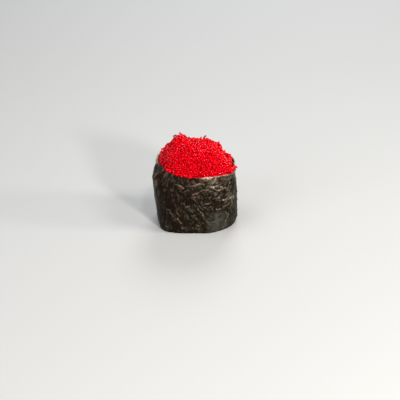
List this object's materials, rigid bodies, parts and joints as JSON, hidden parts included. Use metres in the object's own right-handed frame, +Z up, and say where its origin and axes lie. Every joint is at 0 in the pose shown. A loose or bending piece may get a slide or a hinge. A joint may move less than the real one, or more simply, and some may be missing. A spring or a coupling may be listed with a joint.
{
  "type": "gunkan sushi",
  "caption": "Oval block of pressed rice stood on end inside an upright band of dark seaweed, heaped above the rim with small red fish roe.",
  "frame": {"origin": "centre of the bounding box in X and Y, at the floor that the sushi stands on", "axes": "+X along the oval's length to the right, +Y away from the front, +Z up"},
  "size_m": [0.0436, 0.0346, 0.0466],
  "materials": {
    "nori": "damp, wrinkled, half gloss",
    "rice": "moist, slightly glossy grains",
    "roe": "wet gloss, slightly see-through"
  },
  "bodies": {
    "root": {"nori_wrap": "nori", "rice_bed": "rice", "roe_heap": "roe"}
  },
  "joints": []
}
